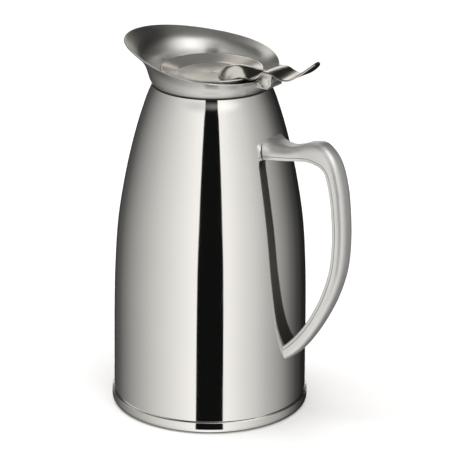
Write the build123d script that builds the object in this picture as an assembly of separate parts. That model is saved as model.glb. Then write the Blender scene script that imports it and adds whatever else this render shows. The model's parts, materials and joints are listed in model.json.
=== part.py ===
from build123d import *
import math
import os

# Insulated coffee pot, double-walled steel, with a flared pouring collar and a hinged lid.
# Millimetres, +Z up.  The origin is the centre of the resting face.
# The spout points to -X; the hinge and the handle are on the +X side.

# ---------------------------------------------------------------- driving dimensions
WALL = 0.8                 # outer shell sheet
LINER_WALL = 0.7
FOOT_R = 58.0              # proud bottom ring
FOOT_H = 7.0
SEAM_Z = 194.3             # top of the polished shell, under the gasket
GASKET_H = 1.1
COLLAR_Z = SEAM_Z + GASKET_H
COLLAR_T = 0.9             # collar sheet
NECK_R = 27.2              # outside of the throat
MOUTH_Z = 199.0            # throat edge the lid closes on
HINGE_X = 43.0
HINGE_Z = 205.0
PIN_R = 1.9
PIN_FIT = 0.05             # running fit, radial
BARREL_R = 3.6
BARREL_HALF = 7.9
EAR_IN = 8.4               # inner face of each lever ear
EAR_T = 1.0
LEVER_HALF = EAR_IN + EAR_T
LEVER_T = 1.0
LID_R = 29.7
LID_EDGE_Z = 204.2
LID_FLOOR_Z = 201.2
LID_FLOOR_R = 18.9
PLUG_R = 24.9
PLUG_Z = 197.2

# outer wall: height, radius
SHELL = [(2.6, 55.6), (7.1, 56.7), (28.3, 56.64), (56.5, 56.53), (84.8, 55.88), (113.1, 53.95),
         (141.3, 49.45), (164.9, 44.08), (183.7, 38.45), (SEAM_Z, 34.3)]


def cyl(radius, z0, z1, x=0.0, y=0.0):
    """Upright cylinder between two heights."""
    return Pos(x, y, (z0 + z1) / 2) * Cylinder(radius, z1 - z0)


def ring(r_out, r_in, z0, z1):
    """Upright ring between two heights."""
    return cyl(r_out, z0, z1) - cyl(r_in, z0 - 1, z1 + 1)


def cross_cyl(radius, y0, y1, x=HINGE_X, z=HINGE_Z):
    """Cylinder lying along Y on the hinge axis."""
    return Pos(x, (y0 + y1) / 2, z) * Rot(90, 0, 0) * Cylinder(radius, y1 - y0)


def joined(*curves):
    """One wire from curves laid end to end."""
    return Wire([edge for curve in curves for edge in curve.edges()])


def turned(points, smooth=None):
    """Solid of revolution from (radius, height) points; `smooth` points form one spline."""
    verts = [(r, 0, z) for r, z in points]
    if smooth is None:
        outline = Polyline(*verts, close=True)
    else:
        curve = [(r, 0, z) for r, z in smooth]
        outline = joined(Spline(*curve), Polyline(curve[-1], *verts, curve[0]))
    return revolve(make_face(outline), Axis.Z)


def inset(profile, gap):
    """Points of (height, radius) moved inward, square to the wall."""
    out = []
    for i, (z, r) in enumerate(profile):
        z0, r0 = profile[max(i - 1, 0)]
        z1, r1 = profile[min(i + 1, len(profile) - 1)]
        length = math.hypot(z1 - z0, r1 - r0)
        out.append((r - gap * (z1 - z0) / length, z + gap * (r1 - r0) / length))
    return out


# ---------------------------------------------------------------- double-walled body
def solid_under(profile, z_low):
    """Filled body of revolution under a smooth (radius, height) profile."""
    top = profile[-1][1]
    return turned([(0, top), (0, z_low), (profile[0][0], z_low)], profile)


outer_curve = [(r, z) for z, r in SHELL]
shell_fill = turned([(0, SEAM_Z), (0, SHELL[0][0])], outer_curve)
cavity = inset(SHELL, WALL)
cavity[0] = (cavity[0][0], SHELL[0][0] - 0.5)
cavity[-1] = (cavity[-1][0], SEAM_Z + 0.4)
shell_void = turned([(0, cavity[-1][1]), (0, cavity[0][1])], cavity)
outer_shell = shell_fill - shell_void
# inward flange at the seam, where the collar and liner neck are joined
outer_shell += ring(34.0, NECK_R + 0.1, SEAM_Z - 0.8, SEAM_Z)

LINER_GAP = 4.6
liner_pts = [(z, r - LINER_GAP) for z, r in SHELL[2:-1]]
LINER_FLOOR = 13.0
LINER_JOIN = 19.0          # weld between the liner's wall and its dished base
liner_out = [(0, LINER_FLOOR), (36.0, LINER_FLOOR + 0.6), (48.0, LINER_FLOOR + 5.0)]
liner_out += [(r, z) for z, r in liner_pts] + [(27.6, 191.4), (NECK_R, 193.6)]
liner_fill = turned([(NECK_R, MOUTH_Z), (0, MOUTH_Z)], liner_out)
liner_in = [(0, LINER_FLOOR + LINER_WALL), (35.8, LINER_FLOOR + 0.6 + LINER_WALL)]
liner_in += [(47.4, LINER_FLOOR + 5.4)]
liner_in += [(r - LINER_WALL, z) for z, r in liner_pts] + [(26.9, 191.0), (NECK_R - LINER_WALL, 193.6)]
liner_void = turned([(NECK_R - LINER_WALL, MOUTH_Z + 1), (0, MOUTH_Z + 1)], liner_in)
liner = liner_fill - liner_void
inner_liner = liner & cyl(60, LINER_JOIN, 210)
liner_base = liner & cyl(60, 5, LINER_JOIN)

vacuum_base = cyl(54.4, 3.2, 4.4) - cyl(14.0, 2.0, 3.6) - cyl(2.0, 2.0, 5.0)
seal_plug = cyl(5.0, 2.6, 3.6) + cyl(1.98, 3.6, 4.8)
getter_cup = ring(6.0, 4.6, 4.4, 7.4).moved(Pos(26, 0, 0)) + cyl(6.0, 4.4, 5.2, 26.0)

# foot cup: a shallow pan with a proud, rounded wall
cup_fill = cyl(FOOT_R, 0, FOOT_H)
cup_fill = fillet(cup_fill.edges().group_by(Axis.Z)[0], 3.0)
cup_fill = fillet(cup_fill.edges().group_by(Axis.Z)[-1], 0.8)
base_cup = cup_fill - cyl(56.75, 2.6, FOOT_H + 1) - cyl(40.0, -1, 0.9)
base_cup -= shell_fill

# ---------------------------------------------------------------- collar and pouring lip
# each level of the collar: height on the axis, tilt per mm, sag per square mm, the mean radius
# and its first four harmonics round the axis from the spout, and the sheet's normal
COLLAR_LEVELS = [
    (COLLAR_Z, 0.000, 0.0, (34.10, 0.00, 0.00, 0.0, 0.0), (1.00, 0.00)),
    (197.5, 0.014, 0.0, (35.60, 0.20, 0.00, 0.0, 0.0), (0.97, 0.15)),
    (200.3, 0.045, 0.0, (36.55, 0.50, -0.05, 0.0, 0.0), (0.97, 0.20)),
    (203.25, 0.084, 0.0, (37.63, 1.15, -0.18, 0.2, 0.0), (0.92, 0.35)),
    (206.4, 0.128, 0.0, (39.75, 3.00, -0.25, 0.9, 0.0), (0.82, 0.60)),
    (209.6, 0.174, 0.00057, (43.87, 6.90, 0.78, 1.87, 0.81), (0.74, 0.75)),
]
RIM_STEPS = 36


def collar_ring(level, offset, lift=0.0, grow=0.0):
    """Closed curve round the collar at one level, moved inward by `offset` along the sheet normal."""
    height, tilt, sag, harmonics, (n_r, n_z) = level
    pts = []
    for i in range(RIM_STEPS):
        a = 2 * math.pi * i / RIM_STEPS
        r = sum(size * math.cos(k * a) for k, size in enumerate(harmonics))
        r = r - offset * n_r + grow
        x = -r * math.cos(a)
        z = height - tilt * x - sag * x * x
        pts.append((x, -r * math.sin(a), z + offset * n_z + lift))
    return joined(Spline(*pts, periodic=True))


def above_rim(level):
    """Everything above the collar's rim, whose height depends on x alone."""
    height, tilt, sag = level[:3]
    low = [(x, 0, height - tilt * x - sag * x * x) for x in range(-75, 66, 10)]
    outline = joined(Spline(*low), Polyline(low[-1], (65, 0, 260), (-75, 0, 260), low[0]))
    return extrude(make_face(outline), 75, dir=(0, 1, 0), both=True)


def collar_loft(offset):
    """Solid under the flared sheet, carried on past the rim to a flat top."""
    height, tilt, sag, harmonics, normal = COLLAR_LEVELS[-1]
    flat_rim = (height, tilt, 0.0, harmonics, normal)
    rings = [collar_ring(level, offset) for level in COLLAR_LEVELS]
    return Solid.make_loft(rings + [collar_ring(flat_rim, offset, lift=2.6, grow=2.6)])


collar_fill = collar_loft(0) - above_rim(COLLAR_LEVELS[-1])
# floor of the collar bowl, running in to the throat
floor_keep = cyl(40, COLLAR_Z - 1, COLLAR_Z + 0.9)
pouring_collar = collar_fill - (collar_loft(COLLAR_T) - floor_keep) - cyl(NECK_R, 190, 200)
neck_gasket = ring(33.7, 29.4, SEAM_Z, COLLAR_Z)

# hinge bracket: a plate bent from the collar's back wall up to the barrel
bracket_block = Pos(39.2, 0, 201.2) * Box(7.6, 2 * BARREL_HALF - 1.0, 3.2)
bracket_block = bracket_block - cross_cyl(BARREL_R, -9, 9)
hinge_bracket = (bracket_block - collar_fill).solids().sort_by(Axis.X)[-1]
hinge_barrel = cross_cyl(BARREL_R, -BARREL_HALF, BARREL_HALF) - cross_cyl(PIN_R + PIN_FIT, -12, 12)

# ---------------------------------------------------------------- handle
# stations along the grip: crown point, inner-face point, half width, depth of the convex back
HANDLE = [
    ((41.2, 170.8), (44.6, 160.0), 13.2, 6.8),
    ((47.0, 168.2), (48.6, 159.8), 11.2, 4.6),
    ((55.0, 167.4), (55.6, 160.0), 9.0, 3.4),
    ((62.5, 169.2), (62.8, 160.8), 7.6, 3.6),
    ((70.0, 172.1), (69.0, 161.4), 7.2, 4.6),
    ((77.2, 172.5), (74.2, 160.8), 7.2, 5.0),
    ((83.6, 167.6), (78.2, 159.4), 7.2, 4.2),
    ((87.8, 160.7), (81.4, 156.2), 7.2, 3.6),
    ((90.8, 151.1), (83.6, 149.6), 7.25, 3.3),
    ((92.7, 140.0), (85.6, 139.4), 7.25, 3.2),
    ((94.0, 122.0), (87.1, 121.8), 7.25, 3.2),
    ((93.4, 104.6), (86.5, 105.4), 7.25, 3.2),
    ((90.4, 90.2), (83.8, 92.4), 7.2, 3.2),
    ((84.2, 74.5), (78.2, 77.8), 7.1, 3.1),
    ((74.4, 57.2), (69.0, 61.6), 7.1, 3.1),
    ((63.8, 43.6), (58.4, 49.2), 7.4, 3.3),
    ((54.6, 36.0), (52.0, 44.8), 8.4, 3.8),
]


SHEET_H = 1.2              # handle sheet
HANDLE_SEAM = 2.1          # height of the tray's side walls, where the two halves meet


def section_frame(station):
    """Base point, outward direction and thickness of the handle at a station."""
    (cx, cz), (ix, iz), half, depth = station
    out = Vector(cx - ix, 0, cz - iz)
    return Vector(ix, 0, iz), out.normalized(), out.length


def handle_section(station, inset_by=0.0, low=0.0):
    """D-shaped section of the handle, smaller all round by `inset_by`, from the level `low` out."""
    base, out, thick = section_frame(station)
    half = station[2] - inset_by
    crown = thick - inset_by
    edge = thick - station[3] - inset_by * 0.6

    def at(y, n):
        return base + out * n + Vector(0, y, 0)
    return joined(
        Line(at(-half, low), at(-half, edge)),
        ThreePointArc(at(-half, edge), at(0, crown), at(half, edge)),
        Line(at(half, edge), at(half, low)),
        Line(at(half, low), at(-half, low)))


def slab_section(station, side, low, high):
    """Rectangle across the handle between two levels, `side` wider than the handle's own edge."""
    base, out, thick = section_frame(station)
    half = station[2] + side
    corners = [(-half, low), (half, low), (half, high), (-half, high)]
    return joined(Polyline(*[base + out * n + Vector(0, y, 0) for y, n in corners], close=True))


handle_fill = Solid.make_loft([handle_section(s) for s in HANDLE])
handle_void = Solid.make_loft([handle_section(s, SHEET_H, low=1.6) for s in HANDLE])
seam_slab = Solid.make_loft([slab_section(s, 1.5, -2.0, HANDLE_SEAM) for s in HANDLE])
tray_void = Solid.make_loft([slab_section(s, -SHEET_H, SHEET_H, 3.0) for s in HANDLE])
body_clear = solid_under([(r, z) for z, r in SHELL], -1)
tray_clear = solid_under([(r + 0.25, z) for z, r in SHELL], -1)
handle_outer_shell = handle_fill - seam_slab - handle_void - body_clear
handle_inner_tray = (handle_fill & seam_slab) - tray_void - tray_clear

# ---------------------------------------------------------------- lid
dish_top = [(0, LID_FLOOR_Z), (LID_FLOOR_R, LID_FLOOR_Z), (LID_FLOOR_R + 1.4, LID_FLOOR_Z + 0.5),
            (LID_R - 1.3, LID_EDGE_Z - 0.2), (LID_R - 0.4, LID_EDGE_Z), (LID_R, LID_EDGE_Z - 0.4),
            (LID_R, LID_EDGE_Z - 1.2), (LID_R - 0.7, LID_EDGE_Z - 1.2),
            (LID_R - 1.3, LID_EDGE_Z - 1.0), (LID_FLOOR_R + 1.6, LID_FLOOR_Z - 0.3),
            (LID_FLOOR_R, LID_FLOOR_Z - 0.8), (0, LID_FLOOR_Z - 0.8)]
lid_dish = turned(dish_top)
# the pan's flange rises to lie just under the dish's rolled edge
pan_pts = [(0, PLUG_Z), (PLUG_R - 1.5, PLUG_Z), (PLUG_R, PLUG_Z + 1.5), (PLUG_R, 200.7), (26.6, 200.7),
           (28.8, 202.35), (28.8, 202.95), (26.4, 201.3), (PLUG_R - 0.6, 201.3),
           (PLUG_R - 0.6, PLUG_Z + 1.8), (PLUG_R - 1.8, PLUG_Z + 0.6), (0, PLUG_Z + 0.6)]
lid_base_pan = turned(pan_pts)
foam_pts = [(0, PLUG_Z + 0.7), (22.4, PLUG_Z + 0.7), (23.8, PLUG_Z + 2.2), (23.8, 199.7), (0, 199.7)]
lid_insulation = turned(foam_pts)
lid_seal = ring(27.6, PLUG_R + 0.05, 199.4, 200.6)

# ---------------------------------------------------------------- thumb lever
# stations along the strip: x, half width, height of its edges, height of its middle (upper face)
LEVER = [
    (6.6, 2.6, 201.9, 202.5),
    (7.6, 4.9, 201.9, 204.0),
    (9.6, 7.4, 201.9, 205.9),
    (12.6, 9.6, 201.9, 207.6),
    (16.6, 11.0, 202.1, 208.6),
    (20.6, 11.0, 203.1, 208.8),
    (24.8, 10.4, 204.6, 208.3),
    (29.0, 9.7, 205.2, 206.8),
    (33.0, LEVER_HALF, 204.8, 205.1),
    (36.2, LEVER_HALF, 206.6, 206.8),
    (39.6, LEVER_HALF, 209.5, 209.7),
    (43.0, LEVER_HALF, 210.4, 210.6),
    (46.6, LEVER_HALF, 210.0, 210.2),
    (50.4, LEVER_HALF, 208.5, 208.7),
    (54.6, LEVER_HALF, 207.8, 208.0),
    (58.6, LEVER_HALF, 208.6, 208.8),
    (62.6, 9.2, 211.0, 211.3),
    (66.6, 7.6, 214.3, 214.8),
    (69.2, 5.0, 216.8, 217.3),
    (70.4, 2.6, 218.2, 218.5),
]


def lever_section(x, half, z_edge, z_mid):
    """Arched section of the strip, square to X."""
    under = z_edge - LEVER_T
    top = ThreePointArc((x, -half, z_edge), (x, 0, z_mid), (x, half, z_edge))
    low = ThreePointArc((x, half, under), (x, 0, z_mid - LEVER_T), (x, -half, under))
    near = Line((x, -half, under), (x, -half, z_edge))
    far = Line((x, half, z_edge), (x, half, under))
    return joined(top, far, low, near)


strip = Solid.make_loft([lever_section(*station) for station in LEVER])
EAR_LOW_R = 4.3
EAR_X = HINGE_X - 0.6
EAR_TOP = 209.2
ear_profile = Pos(EAR_X, HINGE_Z) * Circle(EAR_LOW_R)
ear_profile += Pos(EAR_X, (HINGE_Z + EAR_TOP) / 2) * Rectangle(2 * EAR_LOW_R, EAR_TOP - HINGE_Z)
# the ears stop inside the strip's thickness, so they are trimmed to a line just under its top
strip_line = [(x, 0, z_edge - 0.3) for x, half, z_edge, z_mid in LEVER[7:14]]
over_strip = joined(Spline(*strip_line), Polyline(strip_line[-1], (60, 0, 230), (20, 0, 230), strip_line[0]))
above_strip = extrude(make_face(over_strip), 20, dir=(0, 1, 0), both=True)
thumb_lever = strip
for side in (-1, 1):
    y_mid = side * (EAR_IN + EAR_T / 2)
    ear = Pos(0, y_mid, 0) * extrude(Plane.XZ * ear_profile, EAR_T / 2, both=True)
    thumb_lever += ear - above_strip
thumb_lever = thumb_lever - cross_cyl(PIN_R, -12, 12)
# the strip's lid end stands on the dish, so it follows the dish's upper face
thumb_lever -= turned([(0, LID_FLOOR_Z)] + dish_top[1:6] + [(LID_R, 195.0), (0, 195.0)])

hinge_pin = cross_cyl(PIN_R, -LEVER_HALF - 0.5, LEVER_HALF + 0.5)
for side in (-1, 1):
    head = Pos(HINGE_X, side * (LEVER_HALF - 1.2), HINGE_Z) * Sphere(3.6)
    y0 = side * LEVER_HALF
    y1 = side * (LEVER_HALF + 4)
    hinge_pin += head & cross_cyl(3.2, min(y0, y1), max(y0, y1))
washers = []
for side in (-1, 1):
    y0, y1 = sorted((side * (BARREL_HALF + 0.05), side * EAR_IN))
    washers.append(cross_cyl(3.4, y0, y1) - cross_cyl(PIN_R, -12, 12))

# ---------------------------------------------------------------- handle weld plates
def end_plate(stations, x_near, x_far):
    """Plate filling the hollow of a handle end between two distances from the pot's axis."""
    core = Solid.make_loft([handle_section(s, SHEET_H + 0.35, low=SHEET_H + 0.35) for s in stations])
    slab = Pos((x_near + x_far) / 2, 0, 100) * Box(x_far - x_near, 60, 200)
    return (core & slab) - tray_clear - handle_inner_tray


handle_upper_plate = end_plate(HANDLE[:4], 40.0, 48.5)
handle_lower_plate = end_plate(HANDLE[-3:], 50.0, 58.5)


parts_out = {
    "outer_shell": outer_shell,
    "inner_liner": inner_liner,
    "liner_base": liner_base,
    "vacuum_base": vacuum_base,
    "seal_plug": seal_plug,
    "getter_cup": getter_cup,
    "base_cup": base_cup,
    "neck_gasket": neck_gasket,
    "pouring_collar": pouring_collar,
    "hinge_bracket": hinge_bracket,
    "hinge_barrel": hinge_barrel,
    "handle_outer_shell": handle_outer_shell,
    "handle_inner_tray": handle_inner_tray,
    "handle_upper_plate": handle_upper_plate,
    "handle_lower_plate": handle_lower_plate,
    "lid_dish": lid_dish,
    "lid_base_pan": lid_base_pan,
    "lid_insulation": lid_insulation,
    "lid_seal": lid_seal,
    "thumb_lever": thumb_lever,
    "hinge_pin": hinge_pin,
    "hinge_washer_near": washers[0],
    "hinge_washer_far": washers[1],
}

os.makedirs("parts", exist_ok=True)
for name, shape in parts_out.items():
    solids = shape.solids()
    print(name, len(solids), "solids")
    export_step(shape if len(solids) > 1 else solids[0], f"parts/{name}.step")
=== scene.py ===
import json
import math

import bpy
from mathutils import Matrix, Vector


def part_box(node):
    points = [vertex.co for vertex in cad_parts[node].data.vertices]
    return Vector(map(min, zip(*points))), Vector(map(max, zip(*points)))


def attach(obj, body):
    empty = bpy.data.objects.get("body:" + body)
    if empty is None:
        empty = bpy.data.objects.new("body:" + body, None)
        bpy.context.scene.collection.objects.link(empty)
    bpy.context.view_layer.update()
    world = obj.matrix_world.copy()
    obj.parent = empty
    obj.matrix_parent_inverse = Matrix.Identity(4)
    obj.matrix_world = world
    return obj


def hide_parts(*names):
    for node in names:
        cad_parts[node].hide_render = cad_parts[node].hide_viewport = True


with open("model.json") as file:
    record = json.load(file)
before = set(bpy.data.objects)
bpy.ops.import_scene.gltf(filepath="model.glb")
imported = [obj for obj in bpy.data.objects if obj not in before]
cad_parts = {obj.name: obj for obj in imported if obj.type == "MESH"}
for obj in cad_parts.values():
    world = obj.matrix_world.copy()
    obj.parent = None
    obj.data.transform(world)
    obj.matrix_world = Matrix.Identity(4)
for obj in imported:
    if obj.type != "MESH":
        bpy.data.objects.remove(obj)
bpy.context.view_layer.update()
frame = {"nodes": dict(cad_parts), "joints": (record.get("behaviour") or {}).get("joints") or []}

# ------------------------------------------------------------------ sizes, in metres
MM = 0.001
FOOT_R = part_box("base_cup")[1].x

# ------------------------------------------------------------------ camera
CAMERA_AZIMUTH = 34.0       # degrees round from the pot's side towards its handle
CAMERA_HEIGHT = 19.48       # degrees above the horizon
CAMERA_ROLL = 0.55
CAMERA_DISTANCE = 1.5726
TARGET_Z = 0.10502
TARGET_PAN = 0.01131
LENS = 210.2


def add_camera():
    """Long-lens camera looking slightly down at the pot, handle to the right."""
    el = math.radians(CAMERA_HEIGHT)
    eye = Vector((0, -CAMERA_DISTANCE * math.cos(el), TARGET_Z + CAMERA_DISTANCE * math.sin(el)))
    target = Vector((TARGET_PAN, 0, TARGET_Z))
    forward = (target - eye).normalized()
    right = forward.cross(Vector((0, 0, 1))).normalized()
    up = right.cross(forward)
    roll = math.radians(CAMERA_ROLL)
    right, up = (math.cos(roll) * right + math.sin(roll) * up,
                 math.cos(roll) * up - math.sin(roll) * right)
    place = Matrix((right, up, -forward)).transposed().to_4x4()
    place.translation = eye
    data = bpy.data.cameras.new("camera")
    data.lens = LENS
    data.sensor_width = 36.0
    data.clip_start = 0.05
    camera = bpy.data.objects.new("camera", data)
    camera.matrix_world = Matrix.Rotation(math.radians(CAMERA_AZIMUTH), 4, "Z") @ place
    bpy.context.scene.collection.objects.link(camera)
    bpy.context.scene.camera = camera


add_camera()


# ------------------------------------------------------------------ studio
def node(tree, kind, **settings):
    """New shader node with its settings."""
    n = tree.nodes.new(kind)
    for key, value in settings.items():
        setattr(n, key, value)
    return n


def math_node(tree, operation, a, b=None, c=None, clamp=False):
    """Math node fed by sockets or numbers; returns its output."""
    n = node(tree, "ShaderNodeMath", operation=operation, use_clamp=clamp)
    for i, value in enumerate((a, b, c)):
        if value is None:
            continue
        if isinstance(value, (int, float)):
            n.inputs[i].default_value = value
        else:
            tree.links.new(value, n.inputs[i])
    return n.outputs[0]


def ramp(tree, factor, stops):
    """Colour ramp of grey stops, each (position, brightness)."""
    n = node(tree, "ShaderNodeValToRGB")
    n.color_ramp.interpolation = "LINEAR"
    elements = n.color_ramp.elements
    while len(elements) < len(stops):
        elements.new(0.5)
    for element, (position, value) in zip(elements, stops):
        element.position = position
        element.color = (value, value * 0.985, value * 0.955, 1)
    tree.links.new(factor, n.inputs[0])
    return n.outputs[0]


# studio brightness by degrees round from the camera, (degrees, brightness), to its left and right
LOW_LEFT = [(180, 0.04), (162, 0.06), (139, 0.115), (122, 0.24), (108, 0.36), (86, 0.54), (68, 0.70),
            (43, 0.90), (21, 1.08), (0, 1.16)]
LOW_RIGHT = [(23, 1.05), (38, 0.89), (54, 0.75), (71, 0.56), (90, 0.40), (100, 0.30),
             (113, 0.16), (127, 0.07), (147, 0.02), (180, 0.015)]
HIGH_LEFT = [(180, 0.02), (150, 0.02), (115, 0.02), (86, 0.03), (60, 0.06), (30, 0.16), (8, 0.60)]
HIGH_RIGHT = [(0, 0.9), (20, 1.6), (50, 2.2), (75, 1.3), (100, 0.2), (125, 0.02), (147, 0.02), (179.9, 0.02)]
GAP_DARK = 0.006            # how bright the gap between the two soft boxes stays
GAP_HALF = 0.2476           # its half width in radians at eye level
GAP_TAPER = 0.0845          # it narrows with height
GAP_LOW = -0.68             # sine of the heights between which it runs
GAP_HIGH = 0.57
OVERHEAD = (0.07, 0.069, 0.067, 1)
REAR_CARD = (1.2, 1.16, 1.09, 1)  # soft card low behind the pot, seen in the lid
REAR_HALF = 0.3             # half its width in radians
LEFT_CARD = (0.95, 0.925, 0.885, 1)   # soft card high on the left, seen in the near side of the lever
LEFT_FROM, LEFT_TO = -3.05, -1.85   # where it starts and ends, in radians round from the camera


def stops_round(left, right):
    """Ramp stops over a whole turn, from brightness by angle on each side."""
    stops = [((180 - angle) / 360, value) for angle, value in left]
    return stops + [((180 + angle) / 360, value) for angle, value in right]


def step_up(tree, value, low, high):
    """Smooth step from 0 at low to 1 at high."""
    n = node(tree, "ShaderNodeMapRange", interpolation_type="SMOOTHSTEP")
    n.inputs["From Min"].default_value = low
    n.inputs["From Max"].default_value = high
    tree.links.new(value, n.inputs["Value"])
    return n.outputs[0]


def mix_colour(tree, factor, first, second):
    """Blend of two colours, each a socket or a constant."""
    n = node(tree, "ShaderNodeMix", data_type="RGBA")
    tree.links.new(factor, n.inputs["Factor"])
    for socket, value in (("A", first), ("B", second)):
        if isinstance(value, tuple):
            n.inputs[socket].default_value = value
        else:
            tree.links.new(value, n.inputs[socket])
    return n.outputs["Result"]


def add_world():
    """Studio surround for reflections; plain white behind the pot for the camera."""
    world = bpy.data.worlds.new("studio")
    world.use_nodes = True
    tree = world.node_tree
    tree.nodes.clear()
    coords = node(tree, "ShaderNodeTexCoord")
    turn = node(tree, "ShaderNodeVectorRotate", rotation_type="Z_AXIS")
    turn.inputs["Angle"].default_value = -math.radians(CAMERA_AZIMUTH)
    tree.links.new(coords.outputs["Generated"], turn.inputs["Vector"])
    split = node(tree, "ShaderNodeSeparateXYZ")
    tree.links.new(turn.outputs[0], split.inputs[0])
    x, y, z = split.outputs
    # straight towards the camera is -Y here; a positive angle is to the camera's right
    away = math_node(tree, "MULTIPLY", y, -1.0)
    angle = math_node(tree, "ARCTAN2", x, away)
    place = math_node(tree, "MULTIPLY_ADD", angle, 1 / (2 * math.pi), 0.5)
    low = ramp(tree, place, stops_round(LOW_LEFT, LOW_RIGHT))
    high = ramp(tree, place, stops_round(HIGH_LEFT, HIGH_RIGHT))
    round_about = mix_colour(tree, step_up(tree, z, 0.38, 0.6), low, high)
    surround = mix_colour(tree, step_up(tree, z, 0.8, 0.93), round_about, OVERHEAD)
    turned_away = math_node(tree, "SUBTRACT", math_node(tree, "ABSOLUTE", angle), math.pi - REAR_HALF)
    card = math_node(tree, "MULTIPLY", step_up(tree, turned_away, 0.0, 0.15), step_up(tree, z, 0.06, 0.16))
    card = math_node(tree, "MULTIPLY", card, math_node(tree, "SUBTRACT", 1.0, step_up(tree, z, 0.36, 0.44)))
    surround = mix_colour(tree, card, surround, REAR_CARD)
    beside = math_node(tree, "MULTIPLY", step_up(tree, angle, LEFT_FROM, LEFT_FROM + 0.15),
                       math_node(tree, "SUBTRACT", 1.0, step_up(tree, angle, LEFT_TO - 0.15, LEFT_TO)))
    surround = mix_colour(
        tree, math_node(tree, "MULTIPLY", beside, step_up(tree, z, 0.5, 0.62)), surround, LEFT_CARD)
    # the dark gap, sharp at its sides and soft at its ends
    half = math_node(tree, "MULTIPLY_ADD", z, -GAP_TAPER, GAP_HALF)
    inside = math_node(tree, "SUBTRACT", half, math_node(tree, "ABSOLUTE", angle))
    mask = math_node(
        tree, "MULTIPLY", step_up(tree, inside, -0.004, 0.004), step_up(tree, z, GAP_LOW, GAP_LOW + 0.1))
    above = math_node(tree, "SUBTRACT", 1.0, step_up(tree, z, GAP_HIGH - 0.12, GAP_HIGH))
    mask = math_node(tree, "MULTIPLY", mask, above)
    reflected = mix_colour(tree, mask, surround, (GAP_DARK, GAP_DARK, GAP_DARK, 1))
    rays = node(tree, "ShaderNodeLightPath")
    seen = mix_colour(tree, rays.outputs["Is Camera Ray"], reflected, (1, 1, 1, 1))
    back = node(tree, "ShaderNodeBackground")
    tree.links.new(seen, back.inputs["Color"])
    out = node(tree, "ShaderNodeOutputWorld")
    tree.links.new(back.outputs[0], out.inputs[0])
    bpy.context.scene.world = world


def add_floor():
    """Plain pale floor."""
    size = 3.0
    mesh = bpy.data.meshes.new("floor")
    mesh.from_pydata(
        [(-size, -size, 0), (size, -size, 0), (size, size, 0), (-size, size, 0)], [], [(0, 1, 2, 3)])
    floor = bpy.data.objects.new("floor", mesh)
    bpy.context.scene.collection.objects.link(floor)
    mat = bpy.data.materials.new("floor_paint")
    mat.use_nodes = True
    tree = mat.node_tree
    shader = tree.nodes["Principled BSDF"]
    shader.inputs["Base Color"].default_value = (0.93, 0.93, 0.93, 1)
    shader.inputs["Roughness"].default_value = 0.9
    shader.inputs["Specular IOR Level"].default_value = 0.0
    mesh.materials.append(mat)
    floor.visible_glossy = False


def area_light(name, place, target, size, power):
    """Soft square lamp, unseen by the camera and by reflections."""
    data = bpy.data.lights.new(name, "AREA")
    data.shape = "SQUARE"
    data.size = size
    data.energy = power
    lamp = bpy.data.objects.new(name, data)
    lamp.location = place
    lamp.rotation_euler = (Vector(target) - Vector(place)).to_track_quat("-Z", "Y").to_euler()
    lamp.visible_camera = False
    lamp.visible_glossy = False
    bpy.context.scene.collection.objects.link(lamp)


add_world()
add_floor()
side = math.radians(CAMERA_AZIMUTH)
right = Vector((math.cos(side), math.sin(side), 0))
area_light("overhead", (0, 0, 2.2), (0, 0, 0), 2.6, 50.0)
area_light("key", tuple(-0.9 * right + Vector((0, 0, 1.5))), (0, 0, 0.05), 1.0, 7.0)


# ------------------------------------------------------------------ materials
def new_material(name):
    """Empty node material and its Principled shader."""
    mat = bpy.data.materials.new(name)
    mat.use_nodes = True
    tree = mat.node_tree
    return mat, tree, tree.nodes["Principled BSDF"]


def mapped_noise(tree, vector, scale, detail=3.0, roughness=0.5):
    """Noise texture fed by a vector socket; returns its grey output."""
    n = node(tree, "ShaderNodeTexNoise")
    n.inputs["Scale"].default_value = scale
    n.inputs["Detail"].default_value = detail
    n.inputs["Roughness"].default_value = roughness
    tree.links.new(vector, n.inputs["Vector"])
    return n.outputs["Fac"]


def spread(tree, value, low, high, from_low=0.3, from_high=0.7):
    """Maps a grey value onto a range."""
    n = node(tree, "ShaderNodeMapRange")
    n.inputs["From Min"].default_value = from_low
    n.inputs["From Max"].default_value = from_high
    n.inputs["To Min"].default_value = low
    n.inputs["To Max"].default_value = high
    tree.links.new(value, n.inputs["Value"])
    return n.outputs[0]


def colour_between(tree, value, dark, light):
    """Blend of two colours by a grey value."""
    n = node(tree, "ShaderNodeMix", data_type="RGBA")
    tree.links.new(value, n.inputs["Factor"])
    n.inputs["A"].default_value = (*dark, 1)
    n.inputs["B"].default_value = (*light, 1)
    return n.outputs["Result"]


def add_bump(tree, shader, height, strength, distance):
    """Bump from a height socket."""
    n = node(tree, "ShaderNodeBump")
    n.inputs["Strength"].default_value = strength
    n.inputs["Distance"].default_value = distance
    tree.links.new(height, n.inputs["Height"])
    tree.links.new(n.outputs[0], shader.inputs["Normal"])


def polished_steel(name):
    """Mirror-polished stainless steel with faint haze and polishing marks."""
    mat, tree, shader = new_material(name)
    at = node(tree, "ShaderNodeTexCoord").outputs["Object"]
    cloud = mapped_noise(tree, at, 26.0, 4.0)
    marks = mapped_noise(tree, at, 900.0, 2.0)
    tree.links.new(
        colour_between(tree, cloud, (0.79, 0.78, 0.76), (0.83, 0.82, 0.80)), shader.inputs["Base Color"])
    tree.links.new(spread(tree, cloud, 0.035, 0.065), shader.inputs["Roughness"])
    shader.inputs["Metallic"].default_value = 1.0
    add_bump(tree, shader, marks, 0.02, 0.00002)
    return mat


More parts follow.
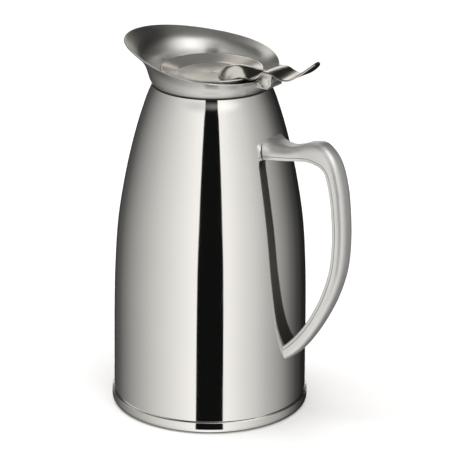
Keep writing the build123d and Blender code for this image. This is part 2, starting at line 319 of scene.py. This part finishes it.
def turned_satin(name, dark, light, rough, metal=1.0):
    """Satin steel with fine brush lines running round the pot's axis."""
    mat, tree, shader = new_material(name)
    at = node(tree, "ShaderNodeTexCoord").outputs["Object"]
    split = node(tree, "ShaderNodeSeparateXYZ")
    tree.links.new(at, split.inputs[0])
    x, y, z = split.outputs
    radius = math_node(tree, "SQRT", math_node(tree, "ADD", math_node(tree, "MULTIPLY", x, x),
                                               math_node(tree, "MULTIPLY", y, y)))
    angle = math_node(tree, "ARCTAN2", y, x)
    lines = node(tree, "ShaderNodeCombineXYZ")
    tree.links.new(math_node(tree, "MULTIPLY", radius, 9000.0), lines.inputs[0])
    tree.links.new(math_node(tree, "MULTIPLY", z, 9000.0), lines.inputs[1])
    tree.links.new(math_node(tree, "MULTIPLY", angle, 3.0), lines.inputs[2])
    brush = mapped_noise(tree, lines.outputs[0], 1.0, 2.0)
    cloud = mapped_noise(tree, at, 60.0, 3.0)
    tree.links.new(colour_between(tree, brush, dark, light), shader.inputs["Base Color"])
    both = math_node(
        tree, "ADD", math_node(tree, "MULTIPLY", brush, 0.6), math_node(tree, "MULTIPLY", cloud, 0.4))
    tree.links.new(spread(tree, both, rough * 0.82, rough * 1.2), shader.inputs["Roughness"])
    shader.inputs["Metallic"].default_value = metal
    # light is smeared across the brush lines, so up and down the wall
    shader.inputs["Anisotropic"].default_value = 0.75
    shader.inputs["Anisotropic Rotation"].default_value = 0.25
    round_axis = node(tree, "ShaderNodeTangent", direction_type="RADIAL", axis="Z")
    tree.links.new(round_axis.outputs[0], shader.inputs["Tangent"])
    add_bump(tree, shader, brush, 0.12, 0.00003)
    return mat


def fine_satin(name, dark, light, rough, metal=1.0):
    """Bead-finished steel with no direction."""
    mat, tree, shader = new_material(name)
    at = node(tree, "ShaderNodeTexCoord").outputs["Object"]
    grain = mapped_noise(tree, at, 2600.0, 2.0)
    cloud = mapped_noise(tree, at, 80.0, 3.0)
    tree.links.new(colour_between(tree, cloud, dark, light), shader.inputs["Base Color"])
    tree.links.new(spread(tree, grain, rough * 0.85, rough * 1.15), shader.inputs["Roughness"])
    shader.inputs["Metallic"].default_value = metal
    add_bump(tree, shader, grain, 0.08, 0.00003)
    return mat


def tray_satin_painted_shade(name, dark, light, rough, metal, painted_shade_colour, half):
    """Satin steel whose hollow between the side walls gets a dark colour as painted shade."""
    mat, tree, shader = new_material(name)
    at = node(tree, "ShaderNodeTexCoord").outputs["Object"]
    grain = mapped_noise(tree, at, 2600.0, 2.0)
    cloud = mapped_noise(tree, at, 80.0, 3.0)
    split = node(tree, "ShaderNodeSeparateXYZ")
    tree.links.new(at, split.inputs[0])
    within = math_node(tree, "SUBTRACT", half, math_node(tree, "ABSOLUTE", split.outputs[1]))
    # painted shade: the colour turns dark between the side walls
    painted_shade_mask = step_up(tree, within, 0.0, 0.0006)
    worn = colour_between(tree, cloud, dark, light)
    tree.links.new(mix_colour(tree, painted_shade_mask, worn, (*painted_shade_colour, 1)), shader.inputs["Base Color"])
    tree.links.new(spread(tree, grain, rough * 0.85, rough * 1.15), shader.inputs["Roughness"])
    shader.inputs["Metallic"].default_value = metal
    add_bump(tree, shader, grain, 0.08, 0.00003)
    return mat


def moulded(name, dark, light, rough, grain_scale):
    """Rubber or plastic with a fine moulded grain."""
    mat, tree, shader = new_material(name)
    at = node(tree, "ShaderNodeTexCoord").outputs["Object"]
    grain = mapped_noise(tree, at, grain_scale, 3.0)
    tree.links.new(colour_between(tree, grain, dark, light), shader.inputs["Base Color"])
    tree.links.new(spread(tree, grain, rough * 0.9, rough * 1.1), shader.inputs["Roughness"])
    add_bump(tree, shader, grain, 0.2, 0.0001)
    return mat


POLISH = polished_steel("polished_steel_finish")
COLLAR = turned_satin("collar_satin_finish", (0.66, 0.655, 0.64), (0.73, 0.725, 0.71), 0.31)
INSIDE = turned_satin("inner_satin_finish", (0.62, 0.61, 0.60), (0.70, 0.69, 0.68), 0.3)
LID = turned_satin("lid_satin_finish", (0.60, 0.58, 0.54), (0.65, 0.63, 0.59), 0.22, 0.84)
LEVER_STEEL = fine_satin("lever_satin_finish", (0.62, 0.60, 0.565), (0.68, 0.66, 0.625), 0.2)
GRIP = fine_satin("grip_satin_finish", (0.76, 0.755, 0.745), (0.82, 0.815, 0.805), 0.42, 0.88)
# its last, dark colour is painted shade, laid between the tray's side walls
TRAY_PAINTED_SHADE = tray_satin_painted_shade("tray_satin_painted_shade_finish", (0.74, 0.735, 0.725), (0.80, 0.795, 0.785), 0.36, 0.9,
                  (0.22, 0.215, 0.205), 0.0062)
RUBBER = moulded("black_rubber_finish", (0.012, 0.012, 0.012), (0.03, 0.03, 0.03), 0.6, 900.0)
FOAM = moulded("insulation_finish", (0.78, 0.77, 0.73), (0.88, 0.87, 0.83), 0.85, 500.0)
NYLON = moulded("washer_finish", (0.70, 0.69, 0.67), (0.78, 0.77, 0.75), 0.5, 1200.0)


# ------------------------------------------------------------------ mesh helpers (all in metres)
def finish_piece(name, verts, faces, material, body, slot_name, *nodes):
    """Smooth-shaded mesh object riding on a body and standing for CAD nodes."""
    mesh = bpy.data.meshes.new(name)
    mesh.from_pydata([tuple(v) for v in verts], [], faces)
    mesh.validate()
    mesh.shade_smooth()
    mesh.set_sharp_from_angle(angle=math.radians(40))
    mesh.materials.append(material)
    obj = bpy.data.objects.new(name, mesh)
    bpy.context.scene.collection.objects.link(obj)
    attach(obj, body)
    if nodes:
        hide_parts(*nodes)
    return obj


def curve_through(points, steps):
    """Smooth Catmull-Rom curve through tuples of numbers, `steps` points a span."""
    size = len(points[0])
    first = [2 * points[0][k] - points[1][k] for k in range(size)]
    last = [2 * points[-1][k] - points[-2][k] for k in range(size)]
    ring = [first] + [list(p) for p in points] + [last]
    out = []
    for i in range(1, len(ring) - 2):
        for j in range(steps):
            t = j / steps
            row = []
            for k in range(size):
                a, b, c, d = (ring[i + m][k] for m in (-1, 0, 1, 2))
                row.append(
                    b + 0.5 * t * (c - a + t * (2 * a - 5 * b + 4 * c - d + t * (3 * (b - c) + d - a))))
            out.append(tuple(row))
    out.append(tuple(points[-1]))
    return out


def rounded(points, radius, steps=5):
    """Closed outline of (r, z) with its corners rounded."""
    out = []
    count = len(points)
    for i in range(count):
        here = Vector(points[i])
        before = Vector(points[i - 1]) - here
        after = Vector(points[(i + 1) % count]) - here
        cut = min(radius, before.length * 0.45, after.length * 0.45)
        a = here + before.normalized() * cut
        b = here + after.normalized() * cut
        if before.normalized().dot(after.normalized()) < -0.995:
            out.append(tuple(here))
            continue
        for j in range(steps + 1):
            t = j / steps
            out.append(tuple((1 - t) ** 2 * a + 2 * t * (1 - t) * here + t * t * b))
    return out


SEGMENTS = 192


def lathe(name, outline, material, body, slot_name, *nodes, centre=(0.0, 0.0)):
    """Closed outline of (r, z) in millimetres turned about an upright axis."""
    verts = []
    for i in range(SEGMENTS):
        a = 2 * math.pi * i / SEGMENTS
        for r, z in outline:
            r = max(r, 0.0005)
            verts.append(((centre[0] + r * math.cos(a)) * MM, (centre[1] + r * math.sin(a)) * MM, z * MM))
    n = len(outline)
    faces = []
    for i in range(SEGMENTS):
        here, there = i * n, (i + 1) % SEGMENTS * n
        for j in range(n):
            k = (j + 1) % n
            faces.append((here + j, there + j, there + k, here + k))
    return finish_piece(name, verts, faces, material, body, slot_name, *nodes)


def loops(name, rings, material, body, slot_name, *nodes, closed=False):
    """Skin over rings of points (each a closed loop); capped at both ends unless closed."""
    n = len(rings[0])
    verts = [p for ring_points in rings for p in ring_points]
    faces = []
    spans = len(rings) if closed else len(rings) - 1
    for i in range(spans):
        here, there = i * n, (i + 1) % len(rings) * n
        for j in range(n):
            k = (j + 1) % n
            faces.append((here + j, here + k, there + k, there + j))
    if not closed:
        faces.append(tuple(range(n - 1, -1, -1)))
        faces.append(tuple(range(len(verts) - n, len(verts))))
    return finish_piece(name, verts, faces, material, body, slot_name, *nodes)


# ------------------------------------------------------------------ pot body
SEAM_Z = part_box("outer_shell")[1].z / MM
COLLAR_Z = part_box("neck_gasket")[1].z / MM
FOOT_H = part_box("base_cup")[1].z / MM
NECK_R = 27.2
SHELL = [(2.6, 55.6), (7.1, 56.7), (28.3, 56.64), (56.5, 56.53), (84.8, 55.88), (113.1, 53.95),
         (141.3, 49.45), (164.9, 44.08), (183.7, 38.45), (SEAM_Z, 34.3)]
SHELL_T = 0.8
SHELL_CURVE = curve_through(SHELL, 14)


def add_body():
    """Polished outer wall, rolled foot cup and the black ring in the collar seam."""
    wall = [(r, z) for z, r in SHELL_CURVE]
    inner = [(r - SHELL_T, z) for z, r in reversed(SHELL_CURVE)]
    top = [(33.9, SEAM_Z), (NECK_R + 0.1, SEAM_Z), (NECK_R + 0.1, SEAM_Z - 0.8)]
    lathe("outer_shell_wall", wall + top + inner, POLISH, "pot", "polished_steel", "outer_shell")
    r = FOOT_R / MM
    cup = rounded([(40.0, 0.9), (41.0, 0.0), (r - 2.6, 0.0), (r - 0.7, 0.8), (r, 2.6), (r, FOOT_H - 0.1),
                   (r - 0.35, FOOT_H), (56.76, FOOT_H - 0.5), (55.7, 2.5), (0.3, 2.5), (0.3, 0.9)], 1.4, 6)
    lathe("foot_cup", cup, POLISH, "pot", "polished_steel", "base_cup")
    ring_out = rounded(
        [(29.4, SEAM_Z), (33.8, SEAM_Z), (34.0, SEAM_Z + 0.55), (33.8, COLLAR_Z), (29.4, COLLAR_Z)], 0.4)
    lathe("seam_ring", ring_out, RUBBER, "pot", "black_rubber", "neck_gasket")


# ------------------------------------------------------------------ pouring collar
# each level: height on the axis, tilt per mm, sag per square mm, then the mean radius and its harmonics
COLLAR_LEVELS = [
    (COLLAR_Z, 0.000, 0.0, 34.10, 0.00, 0.00, 0.0, 0.0),
    (197.5, 0.014, 0.0, 35.60, 0.20, 0.00, 0.0, 0.0),
    (200.3, 0.045, 0.0, 36.55, 0.50, -0.05, 0.0, 0.0),
    (203.25, 0.084, 0.0, 37.63, 1.15, -0.18, 0.2, 0.0),
    (206.4, 0.128, 0.0, 39.75, 3.00, -0.25, 0.9, 0.0),
    (209.6, 0.174, 0.00057, 43.87, 6.90, 0.78, 1.87, 0.81),
]
COLLAR_T = 0.9


def collar_point(level, a):
    """Point on the collar's outer face at a level and an angle from the spout."""
    height, tilt, sag, *harmonics = level
    r = sum(size * math.cos(k * a) for k, size in enumerate(harmonics))
    x = -r * math.cos(a)
    return Vector((x, -r * math.sin(a), height - tilt * x - sag * x * x))


def add_collar():
    """Satin collar: bowl wall flaring to the lip, half-round rim, inner face and floor to the throat."""
    levels = curve_through(COLLAR_LEVELS, 8)
    columns = []
    for i in range(SEGMENTS):
        a = 2 * math.pi * i / SEGMENTS
        outer = [collar_point(level, a) for level in levels]
        side = [collar_point(level, a + 0.01) for level in levels]
        normals = []
        for j in range(len(levels)):
            up = outer[min(j + 1, len(levels) - 1)] - outer[max(j - 1, 0)]
            normals.append(up.cross(side[j] - outer[j]).normalized())
        if normals[0].dot(Vector((outer[0].x, outer[0].y, 0))) > 0:
            normals = [-v for v in normals]
        inner = [p + v * COLLAR_T for p, v in zip(outer, normals)]
        up = (outer[-1] - outer[-2]).normalized()
        middle = (outer[-1] + inner[-1]) / 2
        rim = []
        for j in range(1, 8):
            t = math.pi * j / 8
            rim.append(middle + (outer[-1] - middle) * math.cos(t) + up * (COLLAR_T / 2) * math.sin(t))
        out_dir = Vector((outer[0].x, outer[0].y, 0)).normalized()
        floor_top = [out_dir * r + Vector((0, 0, z)) for r, z in
                     ((32.9, COLLAR_Z + 1.9), (32.2, COLLAR_Z + 1.15), (31.0, COLLAR_Z + 0.9),
                      (NECK_R, COLLAR_Z + 0.9))]
        floor_low = [out_dir * r + Vector((0, 0, z)) for r, z in
                     ((NECK_R, COLLAR_Z), (33.2, COLLAR_Z), (33.9, COLLAR_Z + 0.15))]
        keep = len(levels) - 5      # the lowest few give way to the floor's curve
        inner_down = list(reversed(inner))[:keep]
        columns.append([tuple(p * MM) for p in outer + rim + inner_down + floor_top + floor_low])
    loops("collar_and_lip", columns, COLLAR, "pot", "satin_steel", "pouring_collar", closed=True)


# ------------------------------------------------------------------ handle
# stations along the grip: crown point, inner-face point, half width
HANDLE = [
    ((41.2, 170.8), (44.6, 160.0), 13.2),
    ((47.0, 168.2), (48.6, 159.8), 11.2),
    ((55.0, 167.4), (55.6, 160.0), 9.0),
    ((62.5, 169.2), (62.8, 160.8), 7.6),
    ((70.0, 172.1), (69.0, 161.4), 7.2),
    ((77.2, 172.5), (74.2, 160.8), 7.2),
    ((83.6, 167.6), (78.2, 159.4), 7.2),
    ((87.8, 160.7), (81.4, 156.2), 7.2),
    ((90.8, 151.1), (83.6, 149.6), 7.25),
    ((92.7, 140.0), (85.6, 139.4), 7.25),
    ((94.0, 122.0), (87.1, 121.8), 7.25),
    ((93.4, 104.6), (86.5, 105.4), 7.25),
    ((90.4, 90.2), (83.8, 92.4), 7.2),
    ((84.2, 74.5), (78.2, 77.8), 7.1),
    ((74.4, 57.2), (69.0, 61.6), 7.1),
    ((63.8, 43.6), (58.4, 49.2), 7.4),
    ((54.6, 36.0), (52.0, 44.8), 8.4),
]
SEAM_UP = 2.1               # height of the tray's side walls
SHEET = 1.2


def handle_frames():
    """Closely spaced stations: base point, outward direction, thickness and half width."""
    rows = curve_through([(*crown, *inner, half) for crown, inner, half in HANDLE], 7)
    frames = []
    for cx, cz, ix, iz, half in rows:
        out = Vector((cx - ix, 0, cz - iz))
        frames.append((Vector((ix, 0, iz)), out.normalized(), out.length, half))
    return frames


def rounded_d(half, thick, t):
    """Point (y, n) on the handle's outline, t from 0 at one edge to pi at the other."""
    c, q = math.cos(t), math.sin(t)
    y = -half * math.copysign(abs(c) ** 0.62, c)
    return y, thick * q ** 0.88


def add_handle():
    """Convex outer half and the shallow inner tray, with the seam between them."""
    frames = handle_frames()
    shell_rings, tray_rings = [], []
    for base, out, thick, half in frames:
        def at(y, n):
            return tuple((base + out * n + Vector((0, y, 0))) * MM)
        # angle on the outline where the seam comes
        t_seam = math.asin(min(1.0, (SEAM_UP / thick) ** (1 / 0.88)))
        steps = 36
        outer = [rounded_d(half, thick, t_seam + (math.pi - 2 * t_seam) * i / steps)
                 for i in range(steps + 1)]
        inner = [rounded_d(half - SHEET, thick - SHEET, t_seam + (math.pi - 2 * t_seam) * i / 18)
                 for i in range(19)]
        edge = 0.22
        ring_pts = [(outer[0][0] + edge, outer[0][1] - edge * 0.2)] + outer
        ring_pts += [(outer[-1][0] - edge, outer[-1][1] - edge * 0.2)] + list(reversed(inner))
        shell_rings.append([at(y, n) for y, n in ring_pts])
        lip = SEAM_UP - 0.28
        t_lip = math.asin(min(1.0, (lip / thick) ** (1 / 0.88)))
        side = [rounded_d(half, thick, t_lip * (1 - i / 5)) for i in range(6)]
        corner = 0.7
        wall = [(side[0][0] + 0.25, lip)] + [(y, max(n, corner)) for y, n in side[:-1]]
        turn = []
        for i in range(1, 6):
            a = math.pi / 2 * i / 6
            turn.append((-half + 0.03 + corner * (1 - math.cos(a)), corner * (1 - math.sin(a))))
        base_line = [(-half + corner + 0.4, 0.0), (-half * 0.5, 0.12), (0, 0.2)]
        left = wall + turn + base_line
        right = [(-y, n) for y, n in reversed(left[:-1])]
        inside = [(half - SHEET, lip), (half - SHEET - 0.3, 1.5), (-half + SHEET + 0.3, 1.5),
                  (-half + SHEET, lip)]
        tray_rings.append([at(y, n) for y, n in left + right + inside])
    loops("handle_back", shell_rings, GRIP, "pot", "polished_steel", "handle_outer_shell")
    loops("handle_tray", tray_rings, TRAY_PAINTED_SHADE, "pot", "polished_steel", "handle_inner_tray")


# ------------------------------------------------------------------ lid
LID_FLOOR_Z = 201.2
LID_FLOOR_R = 18.9
LID_EDGE_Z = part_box("lid_dish")[1].z / MM
LID_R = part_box("lid_dish")[1].x / MM
HINGE = Vector(frame["joints"][0]["pos_m"]) / MM


def add_lid_dish():
    """Pressed dish: flat floor, rising wall and rolled edge."""
    outline = [(0.3, LID_FLOOR_Z), (LID_FLOOR_R, LID_FLOOR_Z), (LID_FLOOR_R + 1.4, LID_FLOOR_Z + 0.55),
               (LID_R - 1.5, LID_EDGE_Z - 0.25), (LID_R - 0.9, LID_EDGE_Z), (LID_R - 0.3, LID_EDGE_Z),
               (LID_R, LID_EDGE_Z - 0.4), (LID_R, LID_EDGE_Z - 1.2), (LID_R - 0.7, LID_EDGE_Z - 1.2),
               (LID_R - 1.3, LID_EDGE_Z - 1.0), (LID_FLOOR_R + 1.6, LID_FLOOR_Z - 0.25),
               (LID_FLOOR_R, LID_FLOOR_Z - 0.8), (0.3, LID_FLOOR_Z - 0.8)]
    lathe("lid_top_dish", rounded(outline, 0.6, 6), LID, "lid", "lid_steel", "lid_dish")


# ------------------------------------------------------------------ thumb lever and hinge
LEVER_HALF = 9.4
LEVER_T = 1.0
LEVER_EDGE = 0.35           # how far its rounded edges stand out
EAR_R = 4.3                 # round lower end of each ear
EAR_LEVELS = ((0.25, 8.42), (0.0, 8.6), (0.0, 9.3), (0.2, 9.46))    # edge rounding, distance across
HEAD_R = 2.75               # pin head
HEAD_Y = 9.75
HEAD_RISE = 1.2
# stations: x, half width, height of the edges, height of the middle
LEVER = [
    (6.6, 2.6, 201.9, 202.5),
    (7.6, 4.9, 201.9, 204.0),
    (9.6, 7.4, 201.9, 205.9),
    (12.6, 9.6, 201.9, 207.6),
    (16.6, 11.0, 202.1, 208.6),
    (20.6, 11.0, 203.1, 208.8),
    (24.8, 10.4, 204.6, 208.3),
    (29.0, 9.7, 205.2, 206.8),
    (33.0, LEVER_HALF, 204.8, 205.1),
    (36.2, LEVER_HALF, 206.6, 206.8),
    (39.6, LEVER_HALF, 209.5, 209.7),
    (43.0, LEVER_HALF, 210.4, 210.6),
    (46.6, LEVER_HALF, 210.0, 210.2),
    (50.4, LEVER_HALF, 208.5, 208.7),
    (54.6, LEVER_HALF, 207.8, 208.0),
    (58.6, LEVER_HALF, 208.6, 208.8),
    (62.6, 9.2, 211.0, 211.3),
    (66.6, 7.6, 214.3, 214.8),
    (69.2, 5.0, 216.8, 217.3),
    (70.4, 2.6, 218.2, 218.5),
]


def add_lever():
    """Stamped strip: spoon-backed lid end, dip, strap over the hinge, curled thumb tip, and two ears."""
    rows = curve_through(LEVER, 6)
    across = 20
    rings = []
    for i, (x, half, z_edge, z_mid) in enumerate(rows):
        before, after = rows[max(i - 1, 0)], rows[min(i + 1, len(rows) - 1)]
        slope = Vector((after[0] - before[0], 0, after[3] - before[3])).normalized()
        up = Vector((-slope.z, 0, slope.x))
        top, low = [], []
        for j in range(across + 1):
            u = -1 + 2 * j / across
            z = z_edge + (z_mid - z_edge) * (1 - u * u)
            p = Vector((x, half * u, z))
            lean = Vector((0, 2 * u * (z_mid - z_edge) / half, 0))
            normal = (up + lean).normalized()
            top.append(p)
            low.append(p - normal * LEVER_T)
        edge_out = Vector((0, 1, 0))
        side_right = [(top[-1] + low[-1]) / 2 + edge_out * LEVER_EDGE]
        side_left = [(top[0] + low[0]) / 2 - edge_out * LEVER_EDGE]
        rings.append([tuple(p * MM) for p in top + side_right + list(reversed(low)) + side_left])
    loops("lever_strip", rings, LEVER_STEEL, "lid", "lid_steel", "thumb_lever")
    ear_x = HINGE.x - 0.6
    for side in (-1, 1):
        outline = []
        for i in range(25):
            a = math.pi + math.pi * i / 24
            outline.append((ear_x + EAR_R * math.cos(a), HINGE.z + EAR_R * math.sin(a)))
        # the top follows the strip, just under its upper face
        under = [(x, z_edge - 0.45) for x, half, z_edge, z_mid in reversed(rows) if abs(x - ear_x) < EAR_R]
        outline += under
        rings = []
        for inset_by, y in EAR_LEVELS:
            centre = Vector((ear_x, 0, HINGE.z))
            ring_pts = []
            for px, pz in outline:
                away = (Vector((px, 0, pz)) - centre)
                p = centre + away * (1 - inset_by / away.length)
                ring_pts.append((p.x * MM, side * y * MM, p.z * MM))
            rings.append(ring_pts if side < 0 else list(reversed(ring_pts)))
        loops(f"hinge_ear_{'near' if side < 0 else 'far'}", rings, LEVER_STEEL, "lid", "lid_steel",
              "thumb_lever")


def add_pin():
    """Hinge pin with a domed head at each end."""
    dome = []
    for k in range(9):
        a = math.radians(4 + 10 * k)
        dome.append((HEAD_R * math.sin(a), -HEAD_Y - HEAD_RISE * math.cos(a)))
    profile = dome + [(HEAD_R + 0.05, -9.6), (HEAD_R - 0.05, -9.44), (1.88, -9.42)]
    outline = profile + [(r, -y) for r, y in reversed(profile)]
    rings = []
    for r, y in outline:
        rings.append([((HINGE.x + r * math.cos(2 * math.pi * i / 48)) * MM, y * MM,
                       (HINGE.z + r * math.sin(2 * math.pi * i / 48)) * MM) for i in range(48)])
    loops("domed_pin", rings, GRIP, "lid", "polished_steel", "hinge_pin")


add_body()
add_collar()
add_handle()
add_lid_dish()
add_lever()
add_pin()

FINISH = {
    "outer_shell": POLISH, "base_cup": POLISH, "handle_outer_shell": POLISH, "handle_inner_tray": POLISH,
    "inner_liner": INSIDE, "vacuum_base": INSIDE, "seal_plug": INSIDE, "getter_cup": INSIDE,
    "handle_upper_plate": INSIDE, "handle_lower_plate": INSIDE, "pouring_collar": COLLAR,
    "hinge_bracket": COLLAR, "hinge_barrel": COLLAR, "neck_gasket": RUBBER, "lid_dish": LID,
    "lid_base_pan": INSIDE, "lid_insulation": FOAM, "lid_seal": RUBBER, "thumb_lever": LEVER_STEEL,
    "hinge_pin": POLISH, "hinge_washer_near": NYLON, "hinge_washer_far": NYLON,
}
for node_name, finish in FINISH.items():
    slots = frame["nodes"][node_name].material_slots
    for material_slot in slots:
        material_slot.material = finish

bpy.context.scene.view_settings.view_transform = "Standard"
